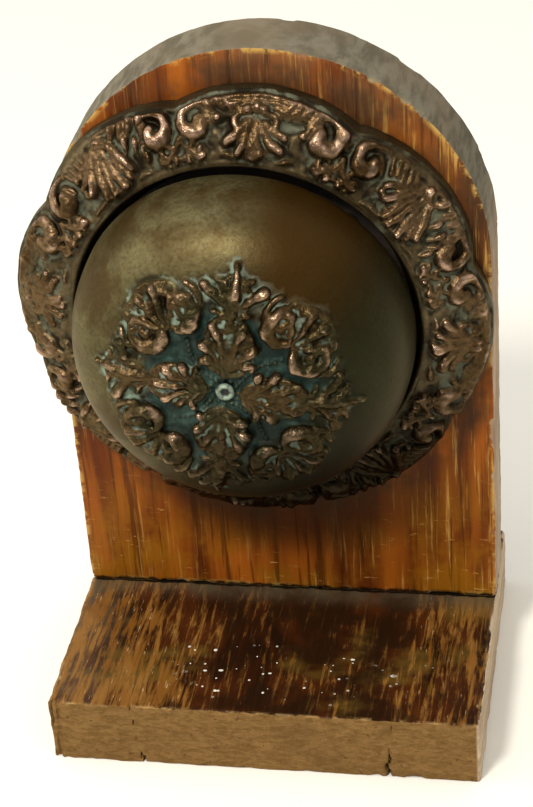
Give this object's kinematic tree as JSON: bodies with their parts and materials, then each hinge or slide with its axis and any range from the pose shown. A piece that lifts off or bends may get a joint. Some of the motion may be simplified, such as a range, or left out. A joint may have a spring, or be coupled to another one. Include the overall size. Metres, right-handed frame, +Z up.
{
  "type": "mechanical door bell on display stand",
  "caption": "Turn-key door bell with an ornate bronze ring plate and domed gong, on the arched upright of a small wooden stand.",
  "frame": {"origin": "centre of the wooden base's underside, on the table", "axes": "+X right and +Y to the back as seen from the gong's side, +Z up; the bell's axis is level along Y"},
  "size_m": [0.1276, 0.1051, 0.1875],
  "materials": {
    "base_wood": "worn dark stain, bare at the edges",
    "board_wood": "worn orange-brown shellac",
    "plate_bronze": "aged cast bronze with verdigris",
    "gong_bronze": "aged bronze, satin, verdigris in the relief",
    "key_bronze": "aged cast bronze",
    "brass": "dull machined brass",
    "steel": "dull steel",
    "hammer_steel": "turned steel",
    "cast_iron": "black",
    "leather": "matt"
  },
  "bodies": {
    "stand": {"base_plank": "base_wood", "upright_board": "board_wood", "base_screws": "steel", "ornate_plate": "plate_bronze", "plate_screws": "steel", "movement_base": "cast_iron", "movement_screws": "steel", "bridge_pillars": "brass", "spindle_bridge": "brass", "bridge_screws": "steel", "gong_post": "steel", "post_collar": "brass", "gong_washer": "leather", "gong": "gong_bronze", "gong_screw": "gong_bronze", "key_rosette": "key_bronze", "rosette_screws": "steel"},
    "key_train": {"spindle": "steel", "drive_gear": "brass", "turn_key": "key_bronze", "key_pin": "steel"},
    "striker": {"striker_pinion": "brass", "hammer_carrier": "brass", "hammer_pins": "steel"},
    "hammer_right": {"right_hammer": "hammer_steel"},
    "hammer_left": {"left_hammer": "hammer_steel"}
  },
  "joints": [
    {"name": "key_turn", "type": "hinge", "parent": "stand", "child": "key_train", "pos_m": [-0.0044, 0.0115, 0.0919], "axis": [0, 1, 0], "continuous": true},
    {"name": "striker_spin", "type": "hinge", "parent": "stand", "child": "striker", "pos_m": [-0.0044, 0.0115, 0.1144], "axis": [0, 1, 0], "continuous": true},
    {"name": "right_hammer_swing", "type": "hinge", "parent": "striker", "child": "hammer_right", "pos_m": [0.0176, -0.0071, 0.1144], "axis": [0, 1, 0], "range_deg": [-245, 65]},
    {"name": "left_hammer_swing", "type": "hinge", "parent": "striker", "child": "hammer_left", "pos_m": [-0.0264, -0.0071, 0.1144], "axis": [0, 1, 0], "range_deg": [-65, 245]}
  ],
  "couplings": [
    {"joint": "striker_spin", "follows": "key_turn", "ratio": -3}
  ]
}
